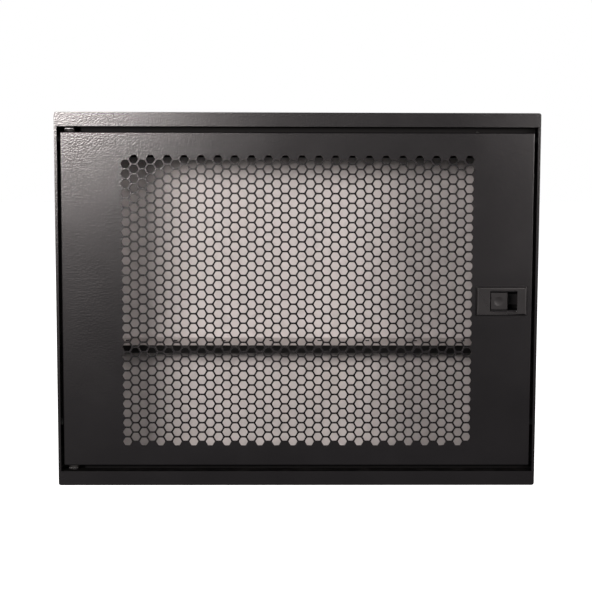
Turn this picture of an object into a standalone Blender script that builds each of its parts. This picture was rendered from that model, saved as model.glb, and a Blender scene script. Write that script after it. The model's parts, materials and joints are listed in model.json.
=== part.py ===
"""Flat wall-mounted 19-inch network cabinet with a perforated, latched swing door.

The cabinet faces -Y, +Z is up, and the origin is the centre of the bounding box's base.
Every depth below is counted from the cabinet's front plane towards the wall.
"""
import math

import bmesh
import bpy
import numpy as np
from mathutils import Matrix, Vector

NAME = "network_wall_cabinet"

# Body
WIDTH = 0.520
HEIGHT = 0.405
DEPTH = 0.150
SHEET = 0.0012              # body and door sheet
GAP = 0.0003                # between pieces that touch
CORNER_RADIUS = 0.0025      # outer long edges of the body
RIM_TOP = 0.0150            # height of the folded front edge above the door
RIM_BOTTOM = 0.0155         # the same below the door
LIP_OVERLAP = 0.0022        # door stop lip behind the door's folded edge
LIP_NOTCH = 0.0110          # lip starts this far beside the hinge axis, clear of the door's corner
HEM_WIDTH = 0.0028          # folded front edge of a side wall
HEM_LENGTH = 0.0080
REAR_FLANGE_SIDE = 0.0520
REAR_FLANGE_TOP = 0.0510
REAR_FLANGE_BOTTOM = 0.0120
BACK_PLATE = 0.0012
BACK_PLATE_MARGIN = 0.0080

# Door
DOOR_SIDE_GAP = 0.0032      # door edge to side wall
DOOR_TOP_GAP = 0.0060
DOOR_BOTTOM_GAP = 0.0065
DOOR_RETURN = 0.0140        # depth of the door's folded edges
DOOR_BEND = 0.0015
DOOR_STOP_GAP = 0.0030      # folded edges to the stop lips and hinge brackets behind them
HEX_PITCH = 0.031176        # centre to centre of neighbouring holes
HEX_OPEN = 0.818            # hole across flats over pitch
FIELD_SIDE_MARGIN = 0.0600  # least solid border beside the perforated field
FIELD_END_MARGIN = 0.0150   # least solid border above and below it

# Hinges
AXIS_INSET = 0.0100         # hinge axis from the door's left edge
AXIS_DEPTH = 0.0070
PIN_RADIUS = 0.0025
PIN_HEAD_RADIUS = 0.0040
PIN_HEAD = 0.0010
PIN_REACH = 0.0140          # into the door
BUSH_WALL = 0.0016
BUSH_COLLAR = 0.0020
LEAF_WIDTH = 0.0100
LEAF = 0.0020

# Latch
BEZEL_EDGE = 0.0060         # from the door's right edge to the bezel
BEZEL_WIDTH = 0.0544
BEZEL_HEIGHT = 0.0312
BEZEL_PROUD = 0.0038
BEZEL_CHAMFER = 0.0022
WINDOW_BORDERS = 0.0251     # bezel's width beside the window, both sides together
WINDOW_HEIGHT = 0.0234
WINDOW_SHIFT = 0.0019       # window's centre to the right of the bezel's
WINDOW_RADIUS = 0.0015
FINGER_WIDTH = 0.0183
FINGER_HEIGHT = 0.0191
FINGER_INSET = 0.0009       # finger plate's left edge from the window's
FINGER_RECESS = 0.0018      # finger plate's face below the bezel's
FINGER_THICK = 0.0026
LATCH_TRAVEL = 0.0080
HOUSING_WALL = 0.0015
EAR_SCREW_INSET = 0.0025    # ear screw's axis from the bezel's end
EAR_SCREW_RADIUS = 0.0011
EAR_SCREW_HEAD = 0.0022
EAR_HEIGHT = 0.0100
TONGUE = 0.0033
TONGUE_HEIGHT = 0.0120
TONGUE_GRIP = 0.0050        # tongue behind the strike
NECK_WIDTH = 0.0100
NECK_HEIGHT = 0.0140
SPRING_BORE = 0.0029
SPRING_POCKET = 0.0060
SPRING_RADIUS = 0.0022
SPRING_WIRE = 0.00045
SPRING_TURNS = 7
STRIKE_REACH = 0.0128       # strike's leaf from the side wall
STRIKE_HEIGHT = 0.0240
STRIKE_LEG = 0.0180
STRIKE_SHEET = 0.0015

# 19-inch rack
RACK_UNIT = 0.04445
RACK_OPENING = 0.450
RACK_HOLE_SPAN = 0.4651
RACK_HOLE = 0.0095
RACK_HOLE_OFFSETS = (0.00635, 0.022225, 0.0381)
RAIL_FACE = 0.0210
RAIL_WEB = 0.0300
RAIL_SHEET = 0.0015
RAIL_DEPTH = 0.0480         # rail's face from the cabinet's front
BRACKET_HEIGHT = 0.0240
BRACKET_DEPTH = 0.0180
BRACKET_SETBACK = 0.0100    # bracket behind the rail's face
BRACKET_END = 0.0440        # bracket's centre from the cabinet's end

# Shelf
SHELF_TOP = 0.1423
SHELF_FRONT = 0.0850        # shelf's front edge from the cabinet's front
SHELF_WIDTH = 0.410
SHELF_FLANGE = 0.0180
SHELF_SLOTS = 8
SHELF_SLOT_PITCH = 0.0559
SHELF_SLOT_WIDTH = 0.0050
SHELF_SLOT_LENGTH = 0.0180
SHELF_SLOT_DEPTH = 0.1280
SHELF_BEAD = 0.0010
SHELF_BEAD_INSET = 0.0070
BAR_HEIGHT = 0.0087
BAR_FOOT = 0.0140

# Cable entries, wall fixings, fasteners
ENTRY_WIDTH = 0.220
ENTRY_LENGTH = 0.0360
ENTRY_DEPTH = 0.1120        # centre of the entry from the front
ENTRY_RADIUS = 0.0080
COVER_MARGIN = 0.0120
TRIM_EDGE = 0.0032
TRIM_WALL = 0.0014
TRIM_HEIGHT = 0.0028
KEYHOLE_X = 0.0180          # from the cabinet's side
KEYHOLE_Z = 0.0300          # from the cabinet's top
KEYHOLE_RADIUS = 0.0055
KEYHOLE_SLOT = 0.0030
KEYHOLE_RISE = 0.0120
SCREW_RADIUS = 0.0018
SCREW_HEAD_RADIUS = 0.0036
SCREW_CLEARANCE = 0.0003
BACK_SCREW_X = 0.0380       # from the cabinet's side
BACK_SCREW_END = 0.0600     # from the cabinet's top and bottom
RAIL_BOLT_RADIUS = 0.0025
RAIL_BOLT_HEAD = 0.0045
RAIL_BOLT_HEAD_HEIGHT = 0.0026
NUT_FLATS = 0.0080
NUT_HEIGHT = 0.0040
STUD_RADIUS = 0.0030
STUD_HEIGHT = 0.0160
STUD_X = 0.0250             # from the cabinet's side
STUD_NUT_FLATS = 0.0100
STUD_NUT_HEIGHT = 0.0050
BUMPER_RADIUS = 0.0023
BUMPER_INSET = 0.0600       # from the door's right edge

# Derived planes and lines
FRONT = -(DEPTH - BEZEL_PROUD) / 2
BACK = FRONT + DEPTH
HALF = WIDTH / 2
FLANGE_BACK = BACK - BACK_PLATE - GAP
DOOR_LEFT = -HALF + HEM_WIDTH + DOOR_SIDE_GAP
DOOR_RIGHT = -DOOR_LEFT
DOOR_BASE = RIM_BOTTOM + DOOR_BOTTOM_GAP
DOOR_HEAD = HEIGHT - RIM_TOP - DOOR_TOP_GAP
DOOR_MID = (DOOR_BASE + DOOR_HEAD) / 2
AXIS_X = DOOR_LEFT + AXIS_INSET
AXIS_Y = FRONT + AXIS_DEPTH
RIM_RETURN = DOOR_RETURN + DOOR_STOP_GAP
LIP_Y = FRONT + RIM_RETURN
LIP_TOP = DOOR_HEAD - SHEET - LIP_OVERLAP
LIP_BOTTOM = DOOR_BASE + SHEET + GAP
SIDE_INNER = HALF - SHEET
BEZEL_X = DOOR_RIGHT - BEZEL_EDGE - BEZEL_WIDTH / 2
WINDOW_WIDTH = BEZEL_WIDTH - WINDOW_BORDERS
WINDOW_X = BEZEL_X + WINDOW_SHIFT
FINGER_LEFT = WINDOW_X - WINDOW_WIDTH / 2 + FINGER_INSET
FINGER_FACE = FRONT - BEZEL_PROUD + FINGER_RECESS
STRIKE_FRONT = FRONT + DOOR_RETURN + 4 * GAP
STRIKE_EDGE = SIDE_INNER - STRIKE_REACH
TONGUE_FRONT = STRIKE_FRONT + STRIKE_SHEET + 2 * GAP
HOUSING_LEFT = FINGER_LEFT - LATCH_TRAVEL - HOUSING_WALL - 2 * GAP
EAR_SCREW_REACH = BEZEL_WIDTH / 2 - EAR_SCREW_INSET
HOUSING_RIGHT = BEZEL_X + EAR_SCREW_REACH - EAR_SCREW_HEAD - GAP
HOUSING_BACK = TONGUE_FRONT + TONGUE + 2 * GAP + HOUSING_WALL
NECK_LEFT = FINGER_LEFT + 0.0010
RAIL_X = RACK_OPENING / 2
RAIL_OUTER = RAIL_X + RAIL_FACE
RAIL_Y = FRONT + RAIL_DEPTH
RACK_UNITS = int((LIP_TOP - LIP_BOTTOM) / RACK_UNIT)
RACK_BASE = (LIP_TOP + LIP_BOTTOM - RACK_UNITS * RACK_UNIT) / 2
BAR_Y = FRONT + SHELF_FRONT - GAP - SHEET


def clear_scene():
    for obj in list(bpy.data.objects):
        bpy.data.objects.remove(obj, do_unlink=True)


def make_collection(name):
    coll = bpy.data.collections.new(name)
    bpy.context.scene.collection.children.link(coll)
    return coll


clear_scene()
PARTS = make_collection(NAME)
CUTTERS = make_collection("cutters")


def make_material(name, colour, roughness, metallic):
    mat = bpy.data.materials.new(name)
    mat.use_nodes = True
    shader = mat.node_tree.nodes["Principled BSDF"]
    shader.inputs["Base Color"].default_value = (*colour, 1.0)
    shader.inputs["Roughness"].default_value = roughness
    shader.inputs["Metallic"].default_value = metallic
    return mat


BODY_COAT = make_material("black_powder_coat", (0.020, 0.020, 0.022), 0.45, 0.0)
DOOR_COAT = make_material("door_powder_coat", (0.022, 0.022, 0.024), 0.42, 0.0)
GALVANISED = make_material("galvanised_sheet", (0.62, 0.59, 0.56), 0.50, 0.4)
ZINC = make_material("zinc_plated_steel", (0.66, 0.67, 0.68), 0.30, 1.0)
LATCH_PLASTIC = make_material("latch_plastic", (0.030, 0.030, 0.032), 0.38, 0.0)
HOUSING_PLASTIC = make_material("housing_plastic", (0.012, 0.012, 0.012), 0.55, 0.0)
NYLON = make_material("nylon_bush", (0.060, 0.060, 0.065), 0.45, 0.0)
RUBBER = make_material("rubber", (0.015, 0.015, 0.015), 0.80, 0.0)


def add_mesh(name, mesh, mat, coll=PARTS):
    obj = bpy.data.objects.new(name, mesh)
    coll.objects.link(obj)
    if mat:
        mesh.materials.append(mat)
    if coll is CUTTERS:
        obj.hide_render = True
        obj.display_type = "WIRE"
    return obj


def mesh_from(bm, name):
    mesh = bpy.data.meshes.new(name)
    bm.to_mesh(mesh)
    bm.free()
    return mesh


def box(name, low, high, mat=None, coll=PARTS):
    bm = bmesh.new()
    bmesh.ops.create_cube(bm, size=1.0)
    low, high = Vector(low), Vector(high)
    size = high - low
    for vert in bm.verts:
        vert.co = low + Vector((size[i] * (vert.co[i] + 0.5) for i in range(3)))
    return add_mesh(name, mesh_from(bm, name), mat, coll)


AXES = {
    "X": Matrix(((0, 0, 1), (1, 0, 0), (0, 1, 0))),
    "Y": Matrix(((1, 0, 0), (0, 0, -1), (0, 1, 0))),
    "Z": Matrix.Identity(3),
}


def prism(name, outlines, axis, low, high, mat=None, coll=PARTS):
    """Flat outline with holes, extruded between two planes across an axis.

    Outline points are (y, z) across X, (x, z) across Y and (x, y) across Z.
    """
    curve = bpy.data.curves.new(name, "CURVE")
    curve.dimensions = "2D"
    curve.fill_mode = "BOTH"
    curve.extrude = (high - low) / 2
    for outline in outlines:
        spline = curve.splines.new("POLY")
        spline.points.add(len(outline) - 1)
        for point, (u, v) in zip(spline.points, outline):
            point.co = (u, v, 0.0, 1.0)
        spline.use_cyclic_u = True
    flat = bpy.data.objects.new(name + "_outline", curve)
    PARTS.objects.link(flat)
    place = AXES[axis].to_4x4()
    place.translation = Vector([(low + high) / 2 if ax == axis else 0.0 for ax in "XYZ"])
    flat.matrix_world = place
    bpy.context.view_layer.update()
    evaluated = flat.evaluated_get(bpy.context.evaluated_depsgraph_get())
    mesh = bpy.data.meshes.new_from_object(evaluated)
    mesh.transform(flat.matrix_world)
    bpy.data.objects.remove(flat, do_unlink=True)
    bm = bmesh.new()
    bm.from_mesh(mesh)
    bmesh.ops.remove_doubles(bm, verts=bm.verts, dist=0.00001)
    bmesh.ops.recalc_face_normals(bm, faces=bm.faces)
    bm.to_mesh(mesh)
    bm.free()
    mesh.name = name
    mesh.materials.clear()
    return add_mesh(name, mesh, mat, coll)


def rounded_rectangle(x0, x1, z0, z1, radius, steps=3):
    points = []
    corners = ((x1, z1, 0), (x0, z1, 90), (x0, z0, 180), (x1, z0, 270))
    for cx, cz, start in corners:
        mx = cx - math.copysign(radius, cx - (x0 + x1) / 2)
        mz = cz - math.copysign(radius, cz - (z0 + z1) / 2)
        for i in range(steps + 1):
            angle = math.radians(start + 90 * i / steps)
            points.append((mx + radius * math.cos(angle), mz + radius * math.sin(angle)))
    return points


def circle(u, v, radius, sides=16):
    turn = 2 * math.pi / sides
    return [(u + radius * math.cos(turn * i), v + radius * math.sin(turn * i)) for i in range(sides)]


def hexagon(u, v, flats):
    reach = flats / math.sqrt(3)
    return [(u + reach * math.cos(math.pi / 3 * i), v + reach * math.sin(math.pi / 3 * i))
            for i in range(6)]


def turned(name, profile, centre, direction, mat=None, coll=PARTS, steps=16):
    """Solid of revolution: (radius, height) points, top to bottom down the outer side."""
    mesh = bpy.data.meshes.new(name)
    verts = [(radius, 0.0, height) for radius, height in profile]
    mesh.from_pydata(verts, [(i, i + 1) for i in range(len(verts) - 1)], [])
    obj = add_mesh(name, mesh, mat, coll)
    obj.location = centre
    obj.rotation_mode = "QUATERNION"
    obj.rotation_quaternion = Vector((0, 0, 1)).rotation_difference(Vector(direction))
    screw = obj.modifiers.new("Turn", "SCREW")
    screw.steps = steps
    screw.render_steps = steps
    screw.use_merge_vertices = True
    screw.merge_threshold = 0.00005
    screw.use_smooth_shade = False
    return obj


def bent_sheet(name, path, spans, axis, thickness, mat, flip=False, coll=PARTS):
    """Folded sheet: each leg of a path is drawn along an axis over its own span.

    The path runs over the sheet's outer side, in (x, y) across Z or (y, z) across X.
    """
    breaks = sorted({value for span in spans for value in span})
    bm = bmesh.new()
    grid = {}

    def corner(i, value):
        if (i, value) not in grid:
            u, v = path[i]
            place = (u, v, value) if axis == "Z" else (value, u, v)
            grid[i, value] = bm.verts.new(place)
        return grid[i, value]

    for i, (low, high) in enumerate(spans):
        inside = [value for value in breaks if low <= value <= high]
        for start, end in zip(inside, inside[1:]):
            loop = [corner(i, start), corner(i + 1, start), corner(i + 1, end), corner(i, end)]
            bm.faces.new(loop[::-1] if flip else loop)
    obj = add_mesh(name, mesh_from(bm, name), mat, coll)
    shell = obj.modifiers.new("Sheet", "SOLIDIFY")
    shell.solidify_mode = "NON_MANIFOLD"
    shell.nonmanifold_thickness_mode = "CONSTRAINTS"
    shell.nonmanifold_boundary_mode = "FLAT"
    shell.thickness = thickness
    shell.offset = -1.0
    return obj


def boolean(obj, other, operation):
    mod = obj.modifiers.new(operation.title() + "_" + other.name, "BOOLEAN")
    mod.operation = operation
    mod.solver = "EXACT"
    mod.object = other


def cut(obj, cutter):
    boolean(obj, cutter, "DIFFERENCE")


def join(obj, other):
    boolean(obj, other, "UNION")


def boxes_mesh(name, corners, coll=CUTTERS):
    """One mesh of separate boxes, for cutting a row of equal holes."""
    bm = bmesh.new()
    for low, high in corners:
        low, high = Vector(low), Vector(high)
        made = bmesh.ops.create_cube(bm, size=1.0)
        for vert in made["verts"]:
            vert.co = low + Vector(((high[i] - low[i]) * (vert.co[i] + 0.5) for i in range(3)))
    return add_mesh(name, mesh_from(bm, name), None, coll)


def corner_rounding():
    """Cutters that round the body's four long outer edges."""
    cutters = {}
    for side in (-1, 1):
        for end, z_edge in (("bottom", 0.0), ("top", HEIGHT)):
            inward = 1 if end == "bottom" else -1
            cx = side * (HALF - CORNER_RADIUS)
            cz = z_edge + inward * CORNER_RADIUS
            arc = [(cx + side * CORNER_RADIUS * math.sin(math.radians(a)),
                    cz - inward * CORNER_RADIUS * math.cos(math.radians(a))) for a in range(0, 91, 18)]
            over = 0.002
            outline = [(cx, z_edge - inward * over)] + arc
            outline += [(side * (HALF + over), cz), (side * (HALF + over), z_edge - inward * over)]
            cutters[side, end] = prism("corner_%s_%d" % (end, side), [outline], "Y",
                                       FRONT - over, BACK + over, coll=CUTTERS)
    return cutters


def entry_outline(grow=0.0):
    y = FRONT + ENTRY_DEPTH
    return rounded_rectangle(-ENTRY_WIDTH / 2 - grow, ENTRY_WIDTH / 2 + grow, y - ENTRY_LENGTH / 2 - grow,
                             y + ENTRY_LENGTH / 2 + grow, ENTRY_RADIUS + grow)


def end_panel(name, top, corners):
    """Top or bottom panel: plate, front edge, fold-back, door stop lip and rear flange."""
    outer = HEIGHT if top else 0.0
    inward = -1 if top else 1
    rim = outer + inward * (RIM_TOP if top else RIM_BOTTOM)
    flange = outer + inward * (REAR_FLANGE_TOP if top else REAR_FLANGE_BOTTOM)
    lip = LIP_TOP if top else LIP_BOTTOM
    path = [(FLANGE_BACK, flange), (FLANGE_BACK, outer), (FRONT, outer), (FRONT, rim), (LIP_Y, rim),
            (LIP_Y, lip)]
    narrow = HALF - REAR_FLANGE_SIDE - GAP
    inner = HALF - HEM_WIDTH - GAP
    spans = [(-narrow, narrow), (-HALF, HALF), (-HALF, HALF), (-inner, inner), (AXIS_X + LIP_NOTCH, inner)]
    obj = bent_sheet(name, path, spans, "X", SHEET, BODY_COAT, flip=not top)
    for side in (-1, 1):
        cut(obj, corners[side, "top" if top else "bottom"])
    entry = prism(name + "_entry", [entry_outline()], "Z", outer - 0.004, outer + 0.004, coll=CUTTERS)
    cut(obj, entry)
    return obj


def side_panel(name, side, corners):
    """Side wall with its hemmed front edge and its rear flange."""
    flange = side * (HALF - REAR_FLANGE_SIDE)
    path = [(flange, FLANGE_BACK), (side * HALF, FLANGE_BACK), (side * HALF, FRONT + SHEET + GAP),
            (side * HALF, FRONT), (side * (HALF - HEM_WIDTH), FRONT),
            (side * (HALF - HEM_WIDTH), FRONT + HEM_LENGTH)]
    full = (SHEET + GAP, HEIGHT - SHEET - GAP)
    visible = (RIM_BOTTOM + GAP, HEIGHT - RIM_TOP - GAP)
    spans = [full, full, visible, visible, visible]
    obj = bent_sheet(name, path, spans, "Z", SHEET, BODY_COAT, flip=side > 0)
    for end in ("bottom", "top"):
        cut(obj, corners[side, end])
    return obj


def keyhole(name, x, z):
    """Wall fixing: a round hole for the screw's head and a slot above it for the shank."""
    meet = math.asin(KEYHOLE_SLOT / KEYHOLE_RADIUS)
    points = []
    for i in range(15):
        angle = math.pi / 2 + meet + (2 * math.pi - 2 * meet) * i / 14
        points.append((x + KEYHOLE_RADIUS * math.cos(angle), z + KEYHOLE_RADIUS * math.sin(angle)))
    for i in range(7):
        angle = math.pi * i / 6
        points.append((x + KEYHOLE_SLOT * math.cos(angle), z + KEYHOLE_RISE + KEYHOLE_SLOT * math.sin(angle)))
    return prism(name, [points], "Y", FLANGE_BACK - 0.006, BACK + 0.004, coll=CUTTERS)


def countersunk(name, x, z, grow=0.0, mat=None, coll=PARTS):
    """Flush screw through the back plate into a rear flange; its head faces the wall."""
    head = SCREW_HEAD_RADIUS + grow
    shank = SCREW_RADIUS + grow
    over = 0.001 if grow else -0.0001
    profile = [(0.0, over), (head, over), (head, -0.0002 + min(over, 0.0)),
               (shank, -BACK_PLATE - GAP / 2), (shank, -0.0060 - grow), (0.0, -0.0060 - grow)]
    return turned(name, profile, (x, BACK, z), (0, 1, 0), mat, coll, steps=12)


def back_plate():
    edge = BACK_PLATE_MARGIN
    return box("back_plate", (-HALF + edge, BACK - BACK_PLATE, edge), (HALF - edge, BACK, HEIGHT - edge),
               GALVANISED)


def wall_fixings(panels, plate):
    for side in (-1, 1):
        for end, z in (("lower", KEYHOLE_Z), ("upper", HEIGHT - KEYHOLE_Z - KEYHOLE_RISE)):
            hole = keyhole("keyhole_%s_%d" % (end, side), side * (HALF - KEYHOLE_X), z)
            cut(panels[side], hole)
            cut(plate, hole)


def back_screws(panels, plate):
    heights = (("lower", BACK_SCREW_END), ("middle", HEIGHT / 2), ("upper", HEIGHT - BACK_SCREW_END))
    for side, word in ((-1, "left"), (1, "right")):
        for level, z in heights:
            x = side * (HALF - BACK_SCREW_X)
            countersunk("back_screw_%s_%s" % (level, word), x, z, 0.0, ZINC)
            hole = countersunk("back_hole_%s_%s" % (level, word), x, z, SCREW_CLEARANCE, None, CUTTERS)
            cut(panels[side], hole)
            cut(plate, hole)


def shelf():
    """Galvanised rear shelf: slotted plate with two pressed beads and a rear flange."""
    y0 = FRONT + SHELF_FRONT
    y1 = BACK - BACK_PLATE - GAP
    half = SHELF_WIDTH / 2
    path = [(y0, SHELF_TOP), (y1, SHELF_TOP), (y1, SHELF_TOP - SHELF_FLANGE)]
    obj = bent_sheet("shelf_plate", path, [(-half, half)] * 2, "X", SHEET, GALVANISED, flip=True)
    slots = []
    for i in range(SHELF_SLOTS):
        x = (i - (SHELF_SLOTS - 1) / 2) * SHELF_SLOT_PITCH
        y = FRONT + SHELF_SLOT_DEPTH
        slots.append(((x - SHELF_SLOT_WIDTH / 2, y - SHELF_SLOT_LENGTH / 2, SHELF_TOP - 0.004),
                      (x + SHELF_SLOT_WIDTH / 2, y + SHELF_SLOT_LENGTH / 2, SHELF_TOP + 0.004)))
    cut(obj, boxes_mesh("shelf_slots", slots))
    beads = []
    for y in (y0 + SHELF_BEAD_INSET, y1 - SHELF_BEAD_INSET):
        beads.append(((-half + 0.004, y - SHELF_BEAD / 2, SHELF_TOP - SHEET / 2),
                      (half - 0.004, y + SHELF_BEAD / 2, SHELF_TOP + 0.002)))
    cut(obj, boxes_mesh("shelf_beads", beads))
    return obj


def shelf_front_bar():
    """Black angle across the cabinet that carries the shelf's front edge."""
    low = SHELF_TOP - BAR_HEIGHT
    reach = SIDE_INNER - GAP
    foot = SHELF_TOP - SHEET - GAP
    bar = box("shelf_front_bar", (-reach, BAR_Y, low), (reach, BAR_Y + SHEET, SHELF_TOP), BODY_COAT)
    ledge = box("shelf_bar_ledge", (-reach, BAR_Y + SHEET / 2, foot - SHEET),
                (reach, BAR_Y + SHEET + BAR_FOOT, foot), coll=CUTTERS)
    join(bar, ledge)
    return bar


def rack_rail(name, side):
    """Mounting angle with three square holes in every rack unit."""
    path = [(side * RAIL_X, RAIL_Y), (side * RAIL_OUTER, RAIL_Y), (side * RAIL_OUTER, RAIL_Y + RAIL_WEB)]
    span = (SHEET + GAP, HEIGHT - SHEET - GAP)
    obj = bent_sheet(name, path, [span, span], "Z", RAIL_SHEET, BODY_COAT, flip=side < 0)
    holes = []
    x = side * RACK_HOLE_SPAN / 2
    for unit in range(RACK_UNITS):
        for offset in RACK_HOLE_OFFSETS:
            z = RACK_BASE + unit * RACK_UNIT + offset
            holes.append(((x - RACK_HOLE / 2, RAIL_Y - 0.003, z - RACK_HOLE / 2),
                          (x + RACK_HOLE / 2, RAIL_Y + 0.006, z + RACK_HOLE / 2)))
    cut(obj, boxes_mesh(name + "_holes", holes))
    return obj


def rail_bracket(name, side, z):
    """Channel welded to the side wall; the rail's web bolts to its inner leg."""
    front = RAIL_Y + BRACKET_SETBACK
    wall = side * (SIDE_INNER - GAP)
    web = side * (RAIL_OUTER + GAP)
    path = [(wall, front + BRACKET_DEPTH), (wall, front), (web, front), (web, front + BRACKET_DEPTH)]
    span = (z - BRACKET_HEIGHT / 2, z + BRACKET_HEIGHT / 2)
    return bent_sheet(name, path, [span] * 3, "Z", RAIL_SHEET, BODY_COAT, flip=side > 0)


def rail_bolt(name, side, z, grow=0.0, mat=None, coll=PARTS):
    """Bolt along X with its head on the rail's inner side."""
    seat = side * (RAIL_OUTER - RAIL_SHEET - GAP)
    y = RAIL_Y + BRACKET_SETBACK + BRACKET_DEPTH * 0.6
    length = 2 * RAIL_SHEET + NUT_HEIGHT + 5 * GAP
    if grow:
        profile = [(0.0, 0.001), (RAIL_BOLT_RADIUS + grow, 0.001), (RAIL_BOLT_RADIUS + grow, -length),
                   (0.0, -length)]
    else:
        profile = [(0.0, RAIL_BOLT_HEAD_HEIGHT), (RAIL_BOLT_HEAD * 0.8, RAIL_BOLT_HEAD_HEIGHT),
                   (RAIL_BOLT_HEAD, RAIL_BOLT_HEAD_HEIGHT * 0.6), (RAIL_BOLT_HEAD, 0.0),
                   (RAIL_BOLT_RADIUS, 0.0), (RAIL_BOLT_RADIUS, -length), (0.0, -length)]
    return turned(name, profile, (seat, y, z), (-side, 0, 0), mat, coll, steps=12)


def rail_nut(name, side, z):
    start = RAIL_OUTER + RAIL_SHEET + 2 * GAP
    y = RAIL_Y + BRACKET_SETBACK + BRACKET_DEPTH * 0.6
    low, high = sorted((side * start, side * (start + NUT_HEIGHT)))
    outlines = [hexagon(y, z, NUT_FLATS), circle(y, z, RAIL_BOLT_RADIUS + SCREW_CLEARANCE, 12)]
    return prism(name, outlines, "X", low, high, ZINC)


def rack_mounting():
    for side, word in ((-1, "left"), (1, "right")):
        rail = rack_rail("rack_rail_" + word, side)
        for level, z in (("lower", BRACKET_END), ("upper", HEIGHT - BRACKET_END)):
            tag = "%s_%s" % (level, word)
            bracket = rail_bracket("rail_bracket_" + tag, side, z)
            rail_bolt("rail_bolt_" + tag, side, z, 0.0, ZINC)
            hole = rail_bolt("rail_bolt_hole_" + tag, side, z, SCREW_CLEARANCE, None, CUTTERS)
            cut(rail, hole)
            cut(bracket, hole)
            rail_nut("rail_nut_" + tag, side, z)


def cable_cover():
    """Plate that closes the upper cable entry from inside, with its two screws."""
    top = HEIGHT - SHEET - GAP
    margin = COVER_MARGIN
    outline = entry_outline(margin)
    plate = prism("cable_cover_top", [outline], "Z", top - SHEET, top, BODY_COAT)
    return plate


def cover_screws(panel, plate):
    y = FRONT + ENTRY_DEPTH
    under = HEIGHT - 2 * SHEET - 2 * GAP
    for side, word in ((-1, "left"), (1, "right")):
        x = side * (ENTRY_WIDTH + COVER_MARGIN) / 2
        profile = [(0.0, 2 * SHEET + GAP), (SCREW_RADIUS, 2 * SHEET + GAP), (SCREW_RADIUS, 0.0),
                   (SCREW_HEAD_RADIUS, 0.0), (SCREW_HEAD_RADIUS, -0.0018), (0.0, -0.0018)]
        turned("cover_screw_" + word, profile, (x, y, under), (0, 0, 1), ZINC, steps=12)
        radius = SCREW_RADIUS + SCREW_CLEARANCE
        hole = turned("cover_hole_" + word, [(0.0, 0.008), (radius, 0.008), (radius, -0.001), (0.0, -0.001)],
                      (x, y, under), (0, 0, 1), None, CUTTERS, steps=12)
        cut(panel, hole)
        cut(plate, hole)


def cable_trim():
    """Rubber edging in the lower cable entry."""
    base = SHEET + GAP
    ring = prism("cable_trim_bottom", [entry_outline(TRIM_EDGE), entry_outline(-TRIM_WALL)], "Z", base,
                 base + TRIM_HEIGHT, RUBBER)
    liner = prism("cable_trim_liner", [entry_outline(-GAP), entry_outline(-TRIM_WALL)], "Z", GAP,
                  base + TRIM_HEIGHT / 2, coll=CUTTERS)
    join(ring, liner)
    return ring


def earth_point():
    x = HALF - STUD_X
    y = FRONT + ENTRY_DEPTH
    base = SHEET + GAP
    profile = [(0.0, STUD_HEIGHT), (STUD_RADIUS * 0.8, STUD_HEIGHT), (STUD_RADIUS, STUD_HEIGHT - 0.0008),
               (STUD_RADIUS, 0.0012), (STUD_RADIUS * 1.5, 0.0012), (STUD_RADIUS * 1.5, 0.0), (0.0, 0.0)]
    turned("earth_stud", profile, (x, y, base), (0, 0, 1), ZINC, steps=16)
    low = base + 0.0012 + GAP
    outlines = [hexagon(x, y, STUD_NUT_FLATS), circle(x, y, STUD_RADIUS + SCREW_CLEARANCE, 16)]
    prism("earth_nut", outlines, "Z", low, low + STUD_NUT_HEIGHT, ZINC)


def hinge_bracket(name, top):
    """Small angle under the front edge's fold-back, with the hole for the hinge pin."""
    x0 = AXIS_X - LEAF_WIDTH / 2
    x1 = AXIS_X + LEAF_WIDTH / 2
    inward = -1 if top else 1
    fold = HEIGHT - RIM_TOP if top else RIM_BOTTOM
    seat = fold + inward * GAP
    leaf = fold + inward * (2 * GAP + PIN_HEAD + GAP)
    leaf_low, leaf_high = sorted((leaf, leaf + inward * LEAF))
    back = LIP_Y - GAP
    obj = box(name, (x0, FRONT + SHEET, leaf_low), (x1, back, leaf_high), BODY_COAT)
    leg_low, leg_high = sorted((seat, leaf + inward * LEAF * 0.5))
    leg = box(name + "_leg", (x0, back - LEAF, leg_low), (x1, back, leg_high), coll=CUTTERS)
    join(obj, leg)
    radius = PIN_RADIUS + GAP
    hole = turned(name + "_hole", [(0.0, 0.01), (radius, 0.01), (radius, -0.01), (0.0, -0.01)],
                  (AXIS_X, AXIS_Y, leaf), (0, 0, 1), None, CUTTERS)
    cut(obj, hole)
    return obj


def hinge_pin(name, top):
    """Headed pin that hangs in the bracket and reaches through the door's bush."""
    inward = -1 if top else 1
    fold = HEIGHT - RIM_TOP if top else RIM_BOTTOM
    head = fold + inward * 2 * GAP
    door_edge = DOOR_HEAD if top else DOOR_BASE
    reach = abs(door_edge - head) + PIN_REACH
    profile = [(0.0, 0.0), (PIN_HEAD_RADIUS, 0.0), (PIN_HEAD_RADIUS, -PIN_HEAD), (PIN_RADIUS, -PIN_HEAD),
               (PIN_RADIUS, -reach + 0.0008), (PIN_RADIUS * 0.7, -reach), (0.0, -reach)]
    return turned(name, profile, (AXIS_X, AXIS_Y, head), (0, 0, -inward), ZINC)


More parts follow.
